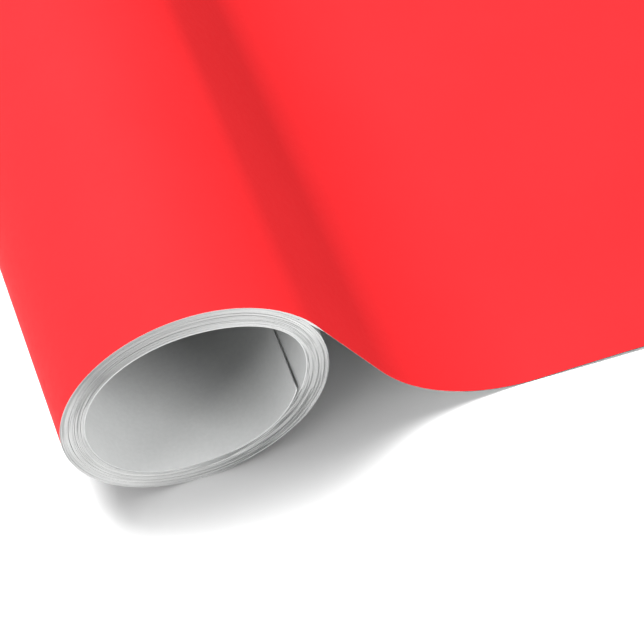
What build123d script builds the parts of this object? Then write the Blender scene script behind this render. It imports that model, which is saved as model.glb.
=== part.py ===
from build123d import *
import os
from math import acos, cos, degrees, radians, sin, tan

os.makedirs("parts", exist_ok=True)

# A roll of backdrop paper, wound without a core. It is one long sheet, coated
# on its outer face. The roll lies on its side, and the sheet's free end runs
# down from the top of the roll and out along the floor.
#
# The origin is on the roll's axis, half way along it. +Y runs along the roll,
# +X is the way the sheet runs out, and +Z is up. Lengths are in millimetres.
# Angles about the roll's axis are in degrees, from +X towards +Z.

# the sheet
sheet_width = 680.0
sheet_thickness = 0.28
lead_length = 285.0

# the winding, from the bore outwards
bore_radius = 28.5
inner_turns = 16
air_gap = 0.09
outer_turn_clearance = 0.30

# where the winding begins and ends
lift_off_angle = 70.0
seam_angle = -16.0
step_sweep = 60.0
tail_sweep = 34.0

# the run from the roll down to the floor
shoulder_ease = 4.3
slope_fall_angle = 57.2
landing_radius = 53.7
landing_names = ["upper", "middle", "lower"]

# worked out from the sizes above
half_sheet = sheet_thickness / 2
pitch = sheet_thickness + air_gap
innermost_radius = bore_radius + half_sheet
widest_inner_radius = innermost_radius + (inner_turns - 1) * pitch
outer_turn_radius = widest_inner_radius + sheet_thickness + outer_turn_clearance
roll_radius = outer_turn_radius + half_sheet
floor_level = -roll_radius

# the sheet leaves the roll on a shoulder a little flatter than the roll, and the
# outer turn ends where the shoulder's underside has risen clear of it
shoulder_radius = outer_turn_radius + shoulder_ease
underside_radius = shoulder_radius - half_sheet
clear_radius = roll_radius + outer_turn_clearance
clear_angle = degrees(
    acos(
        (underside_radius**2 - clear_radius**2 - shoulder_ease**2)
        / (2 * clear_radius * shoulder_ease)
    )
)
outer_turn_end = lift_off_angle - clear_angle + 360


def polar(radius, angle):
    """A point in the roll's cross-section."""
    return Vector(radius * cos(radians(angle)), radius * sin(radians(angle)))


def along_turn(angle):
    """The way the paper runs round the roll, at an angle about the axis."""
    return polar(1, angle + 90)


def step_in(from_radius, to_radius, start, stop):
    """A smooth curve round the roll, from one turn's radius to the next one's."""
    handle = 4 / 3 * tan(radians(stop - start) / 4)
    first = polar(from_radius, start)
    last = polar(to_radius, stop)
    leaving = first + along_turn(start) * from_radius * handle
    arriving = last - along_turn(stop) * to_radius * handle
    return Bezier(first, leaving, arriving, last)


def sheet_solid(one_side, other_side):
    """A stretch of the sheet, from the curves of its two faces in cross-section."""
    ends = [
        Line(one_side[0] @ 0, other_side[0] @ 0),
        Line(one_side[-1] @ 1, other_side[-1] @ 1),
    ]
    section = make_face(one_side + other_side + ends)
    return extrude(Plane.XZ * section, sheet_width / 2, both=True)


def plain_turn(radius, start, stop):
    """Paper wound at one radius."""
    outside = [CenterArc((0, 0), radius + half_sheet, start, stop - start)]
    inside = [CenterArc((0, 0), radius - half_sheet, start, stop - start)]
    return sheet_solid(outside, inside)


def stepped_turn(radius, stop):
    """Paper that comes in from the turn outside it, then winds at one radius."""
    step_end = seam_angle + step_sweep
    sides = []
    for offset in (half_sheet, -half_sheet):
        step = step_in(radius + pitch + offset, radius + offset, seam_angle, step_end)
        rest = CenterArc((0, 0), radius + offset, step_end, stop - step_end)
        sides.append([step, rest])
    return sheet_solid(*sides)


def shoulder():
    """The sheet's bend where it leaves the roll."""
    centre = polar(-shoulder_ease, lift_off_angle)
    sides = []
    for offset in (half_sheet, -half_sheet):
        radius = shoulder_radius + offset
        sides.append([CenterArc(centre, radius, slope_normal, lift_off_angle - slope_normal)])
    return sheet_solid(*sides)


def slope():
    """The straight run, from the shoulder down to the landing curve."""
    sides = []
    for offset in (half_sheet, -half_sheet):
        across = polar(offset, slope_normal)
        sides.append([Line(shoulder_end + across, slope_foot + across)])
    return sheet_solid(*sides)


def landing_curve(index):
    """One part of the hollow bend from the slope onto the floor, counted downwards."""
    centre = slope_foot + polar(landing_radius, slope_normal)
    sweep = slope_fall_angle / landing_parts
    start = 270 - slope_fall_angle + index * sweep
    sides = []
    for offset in (half_sheet, -half_sheet):
        sides.append([CenterArc(centre, landing_radius - offset, start, sweep)])
    return sheet_solid(*sides)


def lead_sheet():
    """The flat stretch on the floor, out to the sheet's free edge."""
    sides = []
    for level in (floor_level + sheet_thickness, floor_level):
        sides.append([Line((landing_end, level), (landing_end + lead_length, level))])
    return sheet_solid(*sides)


# the slope's two ends, and where the landing curve meets the floor
landing_parts = len(landing_names)
slope_normal = 90 - slope_fall_angle
shoulder_end = polar(-shoulder_ease, lift_off_angle) + polar(shoulder_radius, slope_normal)
foot_height = floor_level + half_sheet + landing_radius * (1 - cos(radians(slope_fall_angle)))
slope_length = (shoulder_end.Y - foot_height) / sin(radians(slope_fall_angle))
slope_foot = shoulder_end + polar(slope_length, -slope_fall_angle)
landing_end = slope_foot.X + landing_radius * sin(radians(slope_fall_angle))

tail_end = seam_angle + 360
tail_start = tail_end - tail_sweep

pieces = {
    "lead_sheet": lead_sheet(),
    "slope": slope(),
    "shoulder": shoulder(),
    "outer_turn": plain_turn(outer_turn_radius, lift_off_angle, outer_turn_end),
    "turn_02": plain_turn(widest_inner_radius, outer_turn_end - 360, tail_end),
}
for index, part_name in enumerate(landing_names):
    pieces[f"landing_curve_{part_name}"] = landing_curve(index)
for turn in range(3, inner_turns + 2):
    radius = widest_inner_radius - (turn - 2) * pitch
    is_innermost = turn == inner_turns + 1
    pieces[f"turn_{turn:02d}"] = stepped_turn(radius, tail_start if is_innermost else tail_end)
pieces["inner_tail"] = plain_turn(innermost_radius, tail_start, tail_end)

for name, piece in pieces.items():
    piece.label = name
    export_step(piece, f"parts/{name}.step")

print(f"roll diameter {2 * roll_radius:.2f} mm, floor at z = {floor_level:.2f} mm")
print(f"slope {slope_length:.2f} mm long, flat sheet from x = {landing_end:.2f} mm")
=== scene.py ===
import bpy
import bmesh
from math import atan2, cos, degrees, exp, radians, sin
from mathutils import Matrix, Vector, noise


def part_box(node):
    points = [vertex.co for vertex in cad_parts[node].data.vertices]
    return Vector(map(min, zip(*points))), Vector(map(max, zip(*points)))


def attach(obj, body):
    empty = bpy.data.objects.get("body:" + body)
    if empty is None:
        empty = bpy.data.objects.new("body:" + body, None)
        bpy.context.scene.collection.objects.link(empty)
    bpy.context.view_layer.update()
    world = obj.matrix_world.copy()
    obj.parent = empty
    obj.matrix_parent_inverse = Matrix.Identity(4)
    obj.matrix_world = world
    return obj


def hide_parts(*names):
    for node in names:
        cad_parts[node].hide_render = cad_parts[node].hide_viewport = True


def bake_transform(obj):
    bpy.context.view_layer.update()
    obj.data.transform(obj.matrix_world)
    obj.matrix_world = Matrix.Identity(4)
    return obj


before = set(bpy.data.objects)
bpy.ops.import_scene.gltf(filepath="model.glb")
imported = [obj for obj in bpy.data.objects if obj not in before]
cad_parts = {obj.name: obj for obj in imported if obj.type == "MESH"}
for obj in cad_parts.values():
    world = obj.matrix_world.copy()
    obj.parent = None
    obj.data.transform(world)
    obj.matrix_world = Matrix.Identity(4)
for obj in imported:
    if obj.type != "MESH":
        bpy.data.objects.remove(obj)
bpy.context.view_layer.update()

print("frame loaded:", len(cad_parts), "nodes")

# the roll's axis is the Y axis, and the sheet runs out along +X
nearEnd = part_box("outer_turn")[0].y
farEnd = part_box("outer_turn")[1].y
sheetWidth = farEnd - nearEnd
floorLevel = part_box("lead_sheet")[0].z
rollRadius = -floorLevel
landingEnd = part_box("lead_sheet")[0].x
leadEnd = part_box("lead_sheet")[1].x
hair = 0.0001   # places closer than this count as the same


def grey(tone):
    return (tone, tone, tone)


def makeNodes(name):
    material = bpy.data.materials.new(name)
    material.use_nodes = True
    tree = material.node_tree
    place = tree.nodes.new("ShaderNodeTexCoord")
    return material, tree, tree.nodes["Principled BSDF"], place.outputs["Object"]


def feed(tree, socket, value):
    # the value is a plain one or another node's output
    if isinstance(value, bpy.types.NodeSocket):
        tree.links.new(value, socket)
    else:
        socket.default_value = value


def addNoise(tree, place, scale, detail, roughness=0.55):
    texture = tree.nodes.new("ShaderNodeTexNoise")
    texture.inputs["Scale"].default_value = scale
    texture.inputs["Detail"].default_value = detail
    texture.inputs["Roughness"].default_value = roughness
    tree.links.new(place, texture.inputs["Vector"])
    return texture.outputs["Fac"]


def addRamp(tree, value, stops):
    ramp = tree.nodes.new("ShaderNodeValToRGB")
    marks = ramp.color_ramp.elements
    marks[0].position, marks[1].position = stops[0][0], stops[-1][0]
    for place, colour in stops[1:-1]:
        marks.new(place)
    for mark, (place, colour) in zip(marks, stops):
        mark.color = (*colour, 1)
    tree.links.new(value, ramp.inputs["Fac"])
    return ramp.outputs["Color"]


def addMix(tree, kind, amount, first, second):
    mix = tree.nodes.new("ShaderNodeMix")
    mix.data_type = "RGBA"
    mix.blend_type = kind
    for number, value in ((0, amount), (6, first), (7, second)):   # a colour mix's own sockets
        feed(tree, mix.inputs[number], value)
    return mix.outputs[2]


def addMath(tree, kind, value, amount=0):
    sums = tree.nodes.new("ShaderNodeMath")
    sums.operation = kind
    sums.inputs[1].default_value = amount
    tree.links.new(value, sums.inputs[0])
    return sums.outputs["Value"]


def addVectorMath(tree, kind, vector):
    sums = tree.nodes.new("ShaderNodeVectorMath")
    sums.operation = kind
    tree.links.new(vector, sums.inputs[0])
    return sums


def addBump(tree, shader, height, strength, distance):
    bump = tree.nodes.new("ShaderNodeBump")
    bump.inputs["Strength"].default_value = strength
    bump.inputs["Distance"].default_value = distance
    tree.links.new(height, bump.inputs["Height"])
    tree.links.new(bump.outputs["Normal"], shader.inputs["Normal"])


def setSurface(tree, shader, colour, roughness, specular):
    feed(tree, shader.inputs["Base Color"], colour)
    feed(tree, shader.inputs["Roughness"], roughness)
    feed(tree, shader.inputs["Specular IOR Level"], specular)


coating = {
    "pigment": ((0.35, (0.66, 0.0196, 0.0234)), (0.65, (0.675, 0.0206, 0.0246))),
    "pigmentScale": 26,
    "grain": ((0.3, grey(0.965)), (0.7, grey(1))),
    "grainScale": 1900,
    "bounce": (0.17, 0.17, 0.17, 1),   # the tone it throws on its neighbours
    "roughness": ((0.3, grey(0.60)), (0.7, grey(0.70))),
    "roughnessScale": 420,
    "specular": 0.025,
    "bumpScale": 1300,
    "bumpStrength": 0.10,
    "bumpHeight": 0.00004,
}


def redCoatedFace():
    material, tree, shader, place = makeNodes("redCoatedFace")
    pigment = addRamp(tree, addNoise(tree, place, coating["pigmentScale"], 3), coating["pigment"])
    grain = addRamp(tree, addNoise(tree, place, coating["grainScale"], 3), coating["grain"])
    colour = addMix(tree, "MULTIPLY", 1.0, pigment, grain)
    # light that bounces off the coating stays neutral, so no red falls on the floor or the paper's back
    ray = tree.nodes.new("ShaderNodeLightPath")
    colour = addMix(tree, "MIX", ray.outputs["Is Diffuse Ray"], colour, coating["bounce"])
    roughness = addRamp(tree, addNoise(tree, place, coating["roughnessScale"], 4), coating["roughness"])
    setSurface(tree, shader, colour, roughness, coating["specular"])
    height = addNoise(tree, place, coating["bumpScale"], 5, 0.6)
    addBump(tree, shader, height, coating["bumpStrength"], coating["bumpHeight"])
    return material


paperLook = {
    "cloudScale": 60,
    "fibres": ((0.35, grey(0.94)), (0.65, grey(1))),
    "fibreScale": 900,
    "roughness": 0.85,
    "specular": 0.2,
    "bumpScale": 1100,
    "bumpStrength": 0.25,
    "bumpHeight": 0.00005,
    "paintedShadeDepth": 0.034,       # painted shade: the bore's wall darkens over this much from each end
    "paintedShadeTone": 0.84,
}


def uncoatedPaper(name, darker, lighter, paintedShadeInwards=False):
    material, tree, shader, place = makeNodes(name)
    clouds = addNoise(tree, place, paperLook["cloudScale"], 4)
    cloudy = addRamp(tree, clouds, ((0.3, darker), (0.7, lighter)))
    fibres = addRamp(tree, addNoise(tree, place, paperLook["fibreScale"], 6, 0.7), paperLook["fibres"])
    colour = addMix(tree, "MULTIPLY", 1.0, cloudy, fibres)
    # painted shade: the bore's wall gets darker deeper in from both ends
    if paintedShadeInwards:
        parts = tree.nodes.new("ShaderNodeSeparateXYZ")
        tree.links.new(place, parts.inputs["Vector"])
        fromMiddle = addMath(tree, "ABSOLUTE", parts.outputs["Y"])
        deep = (sheetWidth / 2 - paperLook["paintedShadeDepth"], grey(paperLook["paintedShadeTone"]))
        fade = addRamp(tree, fromMiddle, (deep, (sheetWidth / 2, grey(1))))
        colour = addMix(tree, "MULTIPLY", 1.0, colour, fade)
    setSurface(tree, shader, colour, paperLook["roughness"], paperLook["specular"])
    height = addNoise(tree, place, paperLook["bumpScale"], 6, 0.65)
    addBump(tree, shader, height, paperLook["bumpStrength"], paperLook["bumpHeight"])
    return material


edgeLook = {
    "acrossTurns": 2300,      # the pattern changes fast across the turns
    "alongTurns": 2.1,        # and slowly along them
    "streaks": ((0.34, (0.84, 0.848, 0.845)), (0.62, (0.94, 0.945, 0.94))),
    "paintedShadeLines": ((0.43, (0.28, 0.29, 0.29)), (0.53, grey(1))),
    "lineScale": 0.8,
    "fibres": ((0.3, grey(0.90)), (0.7, grey(1))),
    "fibreScale": 2600,
    "roughness": 0.9,
    "specular": 0.2,
    "bumpScale": 2200,
    "bumpStrength": 0.3,
    "bumpHeight": 0.00004,
    "warmth": 0.997,
    # painted shade: some sides of the end are greyer, with more dark lines between the turns, as light and
    # shade fall on the end;
    # the angle in degrees from -X round by -Z, how light the edges are, and how much the lines show
    "sides": (
        (0, 0.73, 0.45), (20, 0.66, 0.20), (40, 0.77, 0.08), (60, 0.88, 0.05),
        (80, 0.89, 0.15), (100, 0.92, 0.60), (120, 0.71, 1.00), (140, 0.64, 0.90),
        (160, 0.59, 0.70), (180, 0.64, 0.65), (200, 0.79, 0.50), (220, 0.85, 0.25),
        (240, 0.75, 0.05), (260, 0.63, 0.10), (280, 0.53, 0.05), (300, 0.47, 0.05),
        (320, 0.42, 0.20), (340, 0.68, 0.45), (360, 0.73, 0.45),
    ),
}


def addRoundTheRoll(tree, place):
    # one place that follows the winding, and the angle round the roll from 0 to 1
    parts = tree.nodes.new("ShaderNodeSeparateXYZ")
    tree.links.new(place, parts.inputs["Vector"])
    flat = tree.nodes.new("ShaderNodeCombineXYZ")
    tree.links.new(parts.outputs["X"], flat.inputs["X"])
    tree.links.new(parts.outputs["Z"], flat.inputs["Y"])
    flat = flat.outputs["Vector"]
    radius = addVectorMath(tree, "LENGTH", flat).outputs["Value"]
    along = addVectorMath(tree, "SCALE", addVectorMath(tree, "NORMALIZE", flat).outputs["Vector"])
    along.inputs["Scale"].default_value = edgeLook["alongTurns"]
    across = tree.nodes.new("ShaderNodeCombineXYZ")
    tree.links.new(addMath(tree, "MULTIPLY", radius, edgeLook["acrossTurns"]), across.inputs["Z"])
    wound = addVectorMath(tree, "ADD", along.outputs["Vector"])
    tree.links.new(across.outputs["Vector"], wound.inputs[1])
    angle = tree.nodes.new("ShaderNodeTexGradient")
    angle.gradient_type = "RADIAL"
    tree.links.new(flat, angle.inputs["Vector"])
    return wound.outputs["Vector"], angle.outputs["Fac"]


def cutPaperEdge():
    material, tree, shader, place = makeNodes("cutPaperEdge")
    wound, angle = addRoundTheRoll(tree, place)
    # painted shade: how light the edges are, side by side round the end
    tones = [(side / 360, (tone, tone, tone * edgeLook["warmth"])) for side, tone, lined in edgeLook["sides"]]
    shadeLinesBySide = [(side / 360, grey(lined)) for side, tone, lined in edgeLook["sides"]]
    streaks = addRamp(tree, addNoise(tree, wound, 1.0, 3), edgeLook["streaks"])
    colour = addMix(tree, "MULTIPLY", 1.0, streaks, addRamp(tree, angle, tones))
    # painted shade: dark lines between the turns, stronger on some sides
    paintedShadeLines = addRamp(tree, addNoise(tree, wound, edgeLook["lineScale"], 1), edgeLook["paintedShadeLines"])
    colour = addMix(tree, "MULTIPLY", addRamp(tree, angle, shadeLinesBySide), colour, paintedShadeLines)
    fibres = addRamp(tree, addNoise(tree, place, edgeLook["fibreScale"], 4, 0.7), edgeLook["fibres"])
    colour = addMix(tree, "MULTIPLY", 1.0, colour, fibres)
    setSurface(tree, shader, colour, edgeLook["roughness"], edgeLook["specular"])
    height = addNoise(tree, place, edgeLook["bumpScale"], 4, 0.6)
    addBump(tree, shader, height, edgeLook["bumpStrength"], edgeLook["bumpHeight"])
    return material


coatedFace = redCoatedFace()
paperBack = uncoatedPaper("paperBack", (0.60, 0.607, 0.605), (0.635, 0.64, 0.637))
# painted shade: the bore's wall gets a darker paper tone than the paper's back elsewhere, and darkens further
# in from the ends
paintedShadeBoreFace = uncoatedPaper("paintedShadeBoreFace", (0.415, 0.421, 0.419), (0.44, 0.445, 0.442), paintedShadeInwards=True)
# painted shade: this dark tone on the sheet's edges on the floor stands in for the shadow along them
paintedShadeLooseEdge = uncoatedPaper("paintedShadeLooseEdge", (0.07, 0.022, 0.023), (0.10, 0.030, 0.032))
cutEdge = cutPaperEdge()
print("materials made")


def ease(part):
    part = min(max(part, 0), 1)
    return part * part * (3 - 2 * part)


def polar(radius, angle):
    return Vector((radius * cos(radians(angle)), 0, radius * sin(radians(angle))))


def angleOf(point):
    return degrees(atan2(point.z, point.x))


def radiusOf(point):
    return Vector((point.x, point.z)).length


def inFromEnds(point):
    return min(point.co.y - nearEnd, farEnd - point.co.y)


def lineAcross(bm, start, cutsFromEnds):
    # a line along the roll, from its near end to its far end
    bm.verts.layers.deform.verify()   # first, because it makes older points' keys useless
    first = bm.verts.new((start.x, nearEnd, start.z))
    second = bm.verts.new((start.x, farEnd, start.z))
    bm.edges.new((first, second))
    for inFromEnd in cutsFromEnds:
        for side in (nearEnd + inFromEnd, farEnd - inFromEnd):
            whole = bm.verts[:] + bm.edges[:]
            bmesh.ops.bisect_plane(bm, geom=whole, plane_co=(0, side, 0), plane_no=(0, 1, 0))
    return list(bm.edges)


def spinAlong(bm, edges, centre, angle, step):
    # angles count from +X towards +Z, so a positive one turns about -Y
    made = bmesh.ops.spin(
        bm, geom=edges, cent=centre, axis=(0, -1, 0), dvec=(0, 0, 0), angle=radians(angle),
        steps=max(2, round(abs(angle) / step)), use_merge=False, use_duplicate=False,
    )
    return [part for part in made["geom_last"] if isinstance(part, bmesh.types.BMEdge)]


def runStraight(bm, edges, way, steps):
    for step in range(steps):
        made = bmesh.ops.extrude_edge_only(bm, edges=edges)
        moved = [part for part in made["geom"] if isinstance(part, bmesh.types.BMVert)]
        edges = [part for part in made["geom"] if isinstance(part, bmesh.types.BMEdge)]
        edges = [edge for edge in edges if all(end in moved for end in edge.verts)]
        bmesh.ops.translate(bm, verts=moved, vec=way / steps)
    return edges


paper = {
    "thickness": 0.00028,
    "clearance": 0.0001,      # from the outer turn to the turns inside it
    "crispFrom": 50,          # edges sharper than this, in degrees, stay crisp
}

halfSheet = paper["thickness"] / 2
outerRadius = rollRadius - halfSheet
widestInner = outerRadius - paper["thickness"] - paper["clearance"]


def finishPaper(bm, name, thicknesses, faces):
    # the faces are the middle of the paper, and the coated side faces away from the roll's axis
    bmesh.ops.recalc_face_normals(bm, faces=list(bm.faces))
    top = max(bm.faces, key=lambda face: face.calc_center_median().z)
    if top.normal.z < 0:
        bmesh.ops.reverse_faces(bm, faces=list(bm.faces))
    thickest = max([paper["thickness"], *thicknesses.values()])
    share = bm.verts.layers.deform.verify()
    for point in bm.verts:
        point[share][0] = thicknesses.get(point, paper["thickness"]) / thickest
    mesh = bpy.data.meshes.new(name)
    bm.to_mesh(mesh)
    bm.free()
    piece = bpy.data.objects.new(name, mesh)
    bpy.context.scene.collection.objects.link(piece)
    piece.vertex_groups.new(name="thicknessShare")
    for material in faces:
        mesh.materials.append(material)
    for face in mesh.polygons:
        face.use_smooth = True
    solid = piece.modifiers.new("paperThickness", "SOLIDIFY")
    solid.thickness = thickest
    solid.vertex_group = "thicknessShare"
    solid.offset = 0
    solid.material_offset = 1
    solid.material_offset_rim = 2
    finished = piece.evaluated_get(bpy.context.evaluated_depsgraph_get())
    piece.data = bpy.data.meshes.new_from_object(finished)
    piece.modifiers.clear()
    piece.data.name = name
    piece.data.set_sharp_from_angle(angle=radians(paper["crispFrom"]))
    return piece


def isAtEnd(piece, face, reach):
    # whether the whole face lies within this reach of the roll's near or far end
    fromMiddle = min(abs(piece.data.vertices[corner].co.y) for corner in face.vertices)
    return fromMiddle > sheetWidth / 2 - reach - hair


sheet = {
    "liftOff": 70.0,          # where the sheet leaves the roll, in degrees from +X towards +Z
    "outerEnd": 398.2,        # the outer turn stops under the shoulder
    "shoulderEase": 0.0043,   # the shoulder is this much flatter than the roll
    "slopeFall": 57.2,        # how steep the slope is, in degrees
    "landingRadius": 0.0537,  # the hollow bend from the slope onto the floor
    "degreesPerStep": 2.5,
    "slopeSteps": 8,
    "leadSteps": 36,
    "cutsFromEnds": (0.0015, 0.006, 0.012, 0.020, 0.032, 0.050, 0.080, 0.130, 0.200, 0.270),
    "thinEdge": 0.00006,      # the knife leaves the slope's edges thinner
    "thickensFrom": 0.032,    # and this far before the floor they thicken again
    "thickensOver": 0.03,
    "edgeLift": 0.0008,       # on the floor the edges lift by this much
    "liftsFrom": 0.01,
    "liftsOver": 0.04,
    "liftReach": 0.012,       # how far in from the edges the lift goes
    "paintedShadeEdgeFrom": 0.022,    # painted shade: the edges are dark from this far before the floor
    "shoulderFrom": 0.000005,   # what stands this far off the roll is the shoulder
    "wedgeFullAt": 32.0,      # fibres fill the wedge under the shoulder down to here
    "wedgeGoneAt": 26.0,      # and thin out down to here
    "wedgeGap": 0.00004,      # what the fibres leave open
    "fibreReach": 0.006,      # in the wedge, white fibres cover the coated face this far in
    "fibresFrom": -20,        # and from this angle up
}

overlapEnd = sheet["outerEnd"] - 360   # where the outer turn stops, under the shoulder
slopeNormal = 90 - sheet["slopeFall"]


def shapeShoulderEdge(bm, thicknesses):
    # where the sheet parts from the roll its edge is swollen inwards, and the wedge looks full
    for point in bm.verts:
        angle = angleOf(point.co)
        radius = radiusOf(point.co)
        offRoll = radius > outerRadius + sheet["shoulderFrom"]
        onShoulder = sheet["wedgeGoneAt"] < angle < sheet["liftOff"] and offRoll
        if not onShoulder or inFromEnds(point) > hair:
            continue
        below = widestInner + halfSheet if angle > overlapEnd else rollRadius
        room = max(radius - halfSheet - below - sheet["wedgeGap"], 0)
        full = (angle - sheet["wedgeGoneAt"]) / (sheet["wedgeFullAt"] - sheet["wedgeGoneAt"])
        room *= min(full, 1)
        thicknesses[point] = paper["thickness"] + room
        point.co -= polar(room / 2, angle)


def shapeLooseEdges(bm, wound, slopeStart, thicknesses):
    for point in bm.verts:
        if point not in wound and point.co.x > slopeStart and inFromEnds(point) < hair:
            share = (point.co.x - landingEnd + sheet["thickensFrom"]) / sheet["thickensOver"]
            share = min(max(share, 0), 1)
            thicknesses[point] = sheet["thinEdge"] + share * (paper["thickness"] - sheet["thinEdge"])
    for point in bm.verts:
        rise = sheet["edgeLift"] * ease((point.co.x - landingEnd + sheet["liftsFrom"]) / sheet["liftsOver"])
        point.co.z += rise * exp(-(inFromEnds(point) / sheet["liftReach"]) ** 2)


def markEdges(piece):
    # white fibres in the wedge, and painted shade on the edge on the floor
    for face in piece.data.polygons:
        inWedge = sheet["fibresFrom"] < angleOf(face.center) < overlapEnd
        onRoll = inWedge and radiusOf(face.center) < rollRadius + hair / 10
        if face.material_index == 0 and onRoll and isAtEnd(piece, face, sheet["fibreReach"]):
            face.material_index = 2
        # painted shade: the edge on the floor gets the dark tone
        elif face.material_index == 2 and face.center.x > landingEnd - sheet["paintedShadeEdgeFrom"]:
            face.material_index = 3


def makeRunningSheet():
    bm = bmesh.new()
    first = lineAcross(bm, polar(outerRadius, sheet["liftOff"]), sheet["cutsFromEnds"])
    spinAlong(bm, first, (0, 0, 0), sheet["outerEnd"] - sheet["liftOff"], sheet["degreesPerStep"])
    wound = set(bm.verts)

    shoulderRadius = outerRadius + sheet["shoulderEase"]
    shoulderCentre = polar(-sheet["shoulderEase"], sheet["liftOff"])
    line = spinAlong(bm, first, shoulderCentre, slopeNormal - sheet["liftOff"], sheet["degreesPerStep"])
    shoulderEnd = shoulderCentre + polar(shoulderRadius, slopeNormal)
    landingRise = sheet["landingRadius"] * (1 - cos(radians(sheet["slopeFall"])))
    footHeight = floorLevel + halfSheet + landingRise
    slopeLength = (shoulderEnd.z - footHeight) / sin(radians(sheet["slopeFall"]))
    slope = polar(slopeLength, -sheet["slopeFall"])
    line = runStraight(bm, line, slope, sheet["slopeSteps"])

    landingCentre = shoulderEnd + slope + polar(sheet["landingRadius"], slopeNormal)
    line = spinAlong(bm, line, landingCentre, sheet["slopeFall"], sheet["degreesPerStep"])
    runStraight(bm, line, Vector((leadEnd - landingEnd, 0, 0)), sheet["leadSteps"])

    thicknesses = {}
    shapeLooseEdges(bm, wound, shoulderEnd.x, thicknesses)
    shapeShoulderEdge(bm, thicknesses)
    piece = finishPaper(bm, "runningSheet", thicknesses, (coatedFace, paperBack, cutEdge, paintedShadeLooseEdge))
    markEdges(piece)
    landingParts = ["landing_curve_upper", "landing_curve_middle", "landing_curve_lower"]
    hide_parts("outer_turn", "shoulder", "slope", *landingParts, "lead_sheet")
    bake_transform(piece)


makeRunningSheet()

winding = {
    "turns": 16,              # inside the outer turn
    "seam": -16.0,            # each turn starts here
    "stepSweep": 60.0,        # and has stepped in to its own ring by this much further on
    "degreesPerStep": 3.0,
    "meanBore": 0.02835,      # its radius, before the lobes
    # the bore isn't quite round: how many lobes, how deep, and turned to which angle
    "boreLobes": ((2, 0.00066, 22.0), (3, 0.00030, 27.0), (4, 0.00028, 41.0), (5, 0.00014, 25.0)),
    "sameAngle": 0.01,        # angles closer than this, in degrees, count as the same
    "leastGap": 0.000012,     # between two turns
    "gapVaries": 0.6,         # how unevenly the spare room is shared out
    "burr": 0.0015,           # the cut swells the paper's edge over this depth
    "openings": (0.00001, 0.00007),   # between swollen edges, from least to most
    "openingMiddle": 0.5,     # as a share of the way from least to most
    "openingVaries": 0.9,
    "endScatter": 0.000208,   # how far the turns' edges stand in or out of line
    # how fast each of these changes round the roll, how far apart the turns are in it, and its start
    "gapPattern": (1.4, 3.7, 0),
    "openingPattern": (1.1, 2.9, 20),
    "scatterPattern": (0.8, 5.3, 40),
    # where the winding shows slack: the turn outside, angle, spread in degrees, how open
    "slack": (
        (3, 322, 26, 0.00030), (5, 300, 40, 0.00024), (7, 310, 30, 0.00034), (9, 296, 34, 0.00020),
        (11, 318, 26, 0.00026), (13, 300, 30, 0.00018), (14, 140, 30, 0.00016), (12, 126, 40, 0.00008),
        (4, 120, 40, 0.00008), (7, 100, 40, 0.00006), (4, 5, 26, 0.00014), (8, 350, 30, 0.00016),
        (12, 8, 30, 0.00012), (15, 352, 24, 0.00014), (6, 176, 22, 0.00014), (10, 168, 26, 0.00012),
    ),
    "slackUnit": 0.00008,     # this much slack adds one more gap's room
}

lastTurn = winding["turns"] + 1


def wander(pattern, turn, angle):
    # a smooth change round the roll that differs from turn to turn
    speed, apart, start = winding[pattern]
    around = polar(speed, angle)
    return noise.noise(Vector((around.x, around.z, turn * apart + start)))


def boreWall(angle):
    # the middle of the innermost turn's paper
    radius = winding["meanBore"] + halfSheet
    for lobes, size, turnedTo in winding["boreLobes"]:
        radius += size * cos(radians(lobes * (angle - turnedTo)))
    return radius


def slackness(turn, angle):
    total = 0
    for slackTurn, slackAngle, spread, amount in winding["slack"]:
        off = (angle - slackAngle + 180) % 360 - 180
        if slackTurn == turn:
            total += amount * exp(-(off / spread) ** 2)
    return total


def gapShare(turn, angle):
    # how much of the spare room lies inside this turn, at this angle
    varied = exp(winding["gapVaries"] * wander("gapPattern", turn, angle))
    return varied + slackness(turn, angle) / winding["slackUnit"]


def ringsAt(angle):
    # the radii of the rings from turn 2 to the bore's wall, at this angle
    gaps = range(2, lastTurn)
    least = paper["thickness"] + winding["leastGap"]
    spare = max(widestInner - boreWall(angle) - len(gaps) * least, 0)
    shares = [gapShare(turn, angle) for turn in gaps]
    rings = {2: widestInner}
    for turn, share in zip(gaps, shares):
        rings[turn + 1] = rings[turn] - least - share / sum(shares) * spare
    return rings


def turnRadii(angle):
    # the middle of every turn's paper: each turn steps in from the ring outside its own
    rings = ringsAt(angle)
    part = ease((angle - winding["seam"]) / winding["stepSweep"])
    underOuterTurn = angle < overlapEnd - winding["sameAngle"]
    radii = {1: outerRadius, 2: outerRadius if underOuterTurn else widestInner}
    for turn in range(3, lastTurn + 1):
        radii[turn] = rings[turn - 1] + part * (rings[turn] - rings[turn - 1])
    return radii


def opening(turn, angle):
    # how far apart this turn's swollen edge and the next one's stand
    least, most = winding["openings"]
    wide = winding["openingMiddle"] + winding["openingVaries"] * wander("openingPattern", turn, angle)
    return least + (most - least) * min(max(wide, 0), 1) + slackness(turn, angle)


def swollenFaces(turn, angle, radii):
    # the outer and inner radius of the turn's cut edge, which meets its neighbour's halfway
    outer = radii[turn] + halfSheet
    inner = radii[turn] - halfSheet
    spareOutside = max(radii[turn - 1] - halfSheet - outer - opening(turn - 1, angle), 0)
    neighbourIsPlain = turn == 3 and radii[2] == outerRadius
    outer += spareOutside if neighbourIsPlain else spareOutside / 2
    outer = min(outer, widestInner + halfSheet + hair / 5)
    if turn < lastTurn:
        inner -= max(inner - radii[turn + 1] - halfSheet - opening(turn, angle), 0) / 2
    return outer, inner


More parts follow.
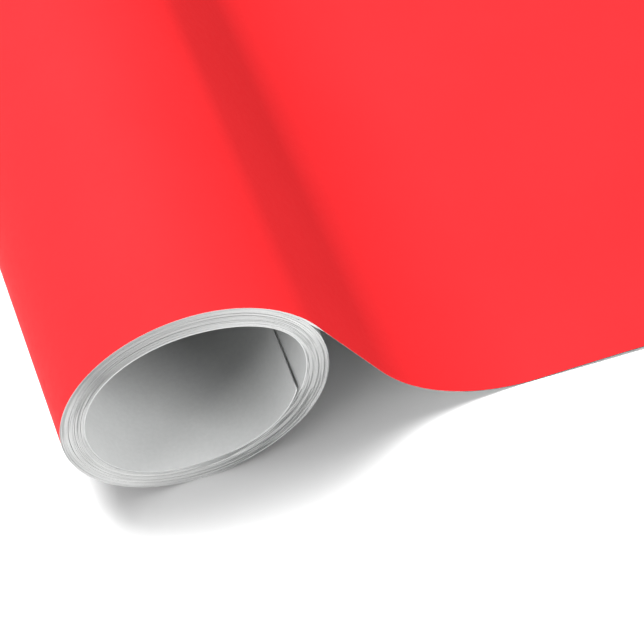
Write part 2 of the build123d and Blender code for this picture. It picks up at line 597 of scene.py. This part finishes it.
tail = {
    "sweep": 34.0,            # the free innermost end, in degrees
    "liftAtEnds": 0.00085,    # how far it springs off the wall at the roll's ends
    "liftInside": 0.00003,    # and far inside
    "fade": 0.014,            # how fast the lift falls off from the ends
    "curl": 2.2,              # above 1, most of the lift is near the free end
    "cutsFromEnds": (
        0.0015, 0.004, 0.008, 0.012, 0.017, 0.023, 0.030, 0.040, 0.055, 0.075, 0.105, 0.150, 0.220,
    ),
}


def springTail(radius, angle, point):
    # the free end springs off the wall, most at the roll's two ends
    part = max(angle - (winding["seam"] + 360 - tail["sweep"]), 0) / tail["sweep"]
    atEnd = exp(-inFromEnds(point) / tail["fade"])
    lift = tail["liftInside"] + (tail["liftAtEnds"] - tail["liftInside"]) * atEnd
    return radius - lift * part ** tail["curl"]


def markTurn(piece, isInnermost):
    for face in piece.data.polygons:
        onTail = winding["seam"] - tail["sweep"] < angleOf(face.center) < winding["seam"]
        if face.material_index == 0 and isAtEnd(piece, face, winding["burr"]):
            face.material_index = 2   # the knife draws white fibres over the coated face
        elif face.material_index == 0 and isInnermost and onTail:
            face.material_index = 1   # painted shade: the free end's coated side takes the bore's shaded paper tone, so the gap under it shows grey


def makeWoundTurn(turn):
    isInnermost = turn == lastTurn
    start = overlapEnd if turn == 2 else winding["seam"]
    stop = winding["seam"] + 360
    bm = bmesh.new()
    cuts = tail["cutsFromEnds"] if isInnermost else (winding["burr"],)
    first = lineAcross(bm, polar(outerRadius, start), cuts)
    firstPoints = set(bm.verts)
    spinAlong(bm, first, (0, 0, 0), stop - start, winding["degreesPerStep"])

    known = {}
    thicknesses = {}
    for point in bm.verts:
        along = (angleOf(point.co) - start) % 360
        if point in firstPoints:
            along = 0
        elif along < 1:   # the turn's last line of points, back above the first
            along = 360
        angle = start + along
        key = round(angle, 3)
        if key not in known:
            radii = turnRadii(angle)
            known[key] = radii[turn], *swollenFaces(turn, angle, radii)
        radius, outer, inner = known[key]
        shift = 0
        if inFromEnds(point) < hair:
            radius = (outer + inner) / 2
            thicknesses[point] = outer - inner
            shift = winding["endScatter"] * wander("scatterPattern", turn, angle)
            if point.co.y > 0:
                shift = -shift
        if isInnermost:
            radius = springTail(radius, angle, point)
        point.co = polar(radius, angle) + Vector((0, point.co.y + shift, 0))

    name = "innerTurn" if isInnermost else f"woundTurn{turn:02d}"
    faces = (coatedFace, paintedShadeBoreFace, paintedShadeBoreFace) if isInnermost else (coatedFace, paperBack, cutEdge)
    piece = finishPaper(bm, name, thicknesses, faces)
    markTurn(piece, isInnermost)
    if isInnermost:
        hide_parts(f"turn_{turn:02d}", "inner_tail")
    else:
        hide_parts(f"turn_{turn:02d}")
    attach(piece, "roll")


for turn in range(2, lastTurn + 1):
    makeWoundTurn(turn)
print("turns wound:", winding["turns"])

floor = {
    "size": 6.0,
    "tones": ((0.3, grey(0.935)), (0.7, grey(0.95))),
    "toneScale": 9,
    "roughness": 0.8,
    "specular": 0.1,
}


def paleFloor():
    material, tree, shader, place = makeNodes("paleFloor")
    tone = addRamp(tree, addNoise(tree, place, floor["toneScale"], 3), floor["tones"])
    setSurface(tree, shader, tone, floor["roughness"], floor["specular"])
    return material


def makeFloor():
    bm = bmesh.new()
    bmesh.ops.create_grid(bm, x_segments=2, y_segments=2, size=floor["size"])
    bmesh.ops.translate(bm, verts=list(bm.verts), vec=(0, 0, floorLevel))
    mesh = bpy.data.meshes.new("floor")
    bm.to_mesh(mesh)
    bm.free()
    ground = bpy.data.objects.new("floor", mesh)
    mesh.materials.append(paleFloor())
    bpy.context.scene.collection.objects.link(ground)


# a lamp that reaches "bore" lights only the innermost turn, and one that reaches "rest" all but that turn
lights = {
    "sky": 0.42,
    "lamps": (
        {"name": "keyLight", "size": 1.0, "place": (-0.34, 0.30, 1.8), "power": 77.0, "reaches": "all"},
        {"name": "leftLight", "size": 1.0, "place": (-1.5, -0.95, 0.85), "power": 11.5, "reaches": "rest"},
        {"name": "boreLight", "size": 0.5, "place": (0.56, -0.86, 0.50), "power": 11.5, "reaches": "bore"},
        {"name": "mouthLight", "size": 0.35, "place": (-0.70, -0.50, 0.50), "power": 6.0, "reaches": "bore"},
    ),
}


def makeLamp(settings):
    data = bpy.data.lights.new(settings["name"], "AREA")
    data.size = settings["size"]
    data.energy = settings["power"]
    lamp = bpy.data.objects.new(settings["name"], data)
    bpy.context.scene.collection.objects.link(lamp)
    lamp.location = settings["place"]
    aim = Vector((0, nearEnd if settings["reaches"] == "bore" else 0, 0))
    lamp.rotation_euler = (aim - lamp.location).to_track_quat("-Z", "Y").to_euler()
    if settings["reaches"] != "all":
        receivers = bpy.data.collections.new(settings["name"] + "Receivers")
        receivers.objects.link(bpy.data.objects["innerTurn"])
        state = "INCLUDE" if settings["reaches"] == "bore" else "EXCLUDE"
        receivers.collection_objects[0].light_linking.link_state = state
        lamp.light_linking.receiver_collection = receivers


def makeSky():
    world = bpy.data.worlds.new("studio")
    bpy.context.scene.world = world
    world.use_nodes = True
    background = world.node_tree.nodes["Background"]
    background.inputs["Color"].default_value = (1, 1, 1, 1)
    background.inputs["Strength"].default_value = lights["sky"]


camera = {
    "lens": 134.55,
    "sensor": 36,
    "turn": -0.3396,          # from looking along +Y, in radians, and negative turns it towards +X
    "height": 0.9299,         # how steeply it looks down, in radians
    "place": (-0.08402, -0.33123, 0.52380),   # from where the roll's near end meets the floor
}


def makeCamera():
    data = bpy.data.cameras.new("camera")
    data.lens = camera["lens"]
    data.sensor_width = camera["sensor"]
    view = bpy.data.objects.new("camera", data)
    bpy.context.scene.collection.objects.link(view)
    turn = camera["turn"]
    height = camera["height"]
    right = Vector((cos(turn), sin(turn), 0))
    back = Vector((sin(turn) * cos(height), -cos(turn) * cos(height), sin(height)))
    up = back.cross(right)
    matrix = Matrix((right, up, back)).transposed().to_4x4()
    matrix.translation = Vector(camera["place"]) + Vector((0, nearEnd, floorLevel))
    view.matrix_world = matrix
    bpy.context.scene.camera = view


makeCamera()
makeFloor()
for settings in lights["lamps"]:
    makeLamp(settings)
makeSky()
bpy.context.scene.view_settings.view_transform = "Standard"
print("stage set")

bpy.context.view_layer.update()
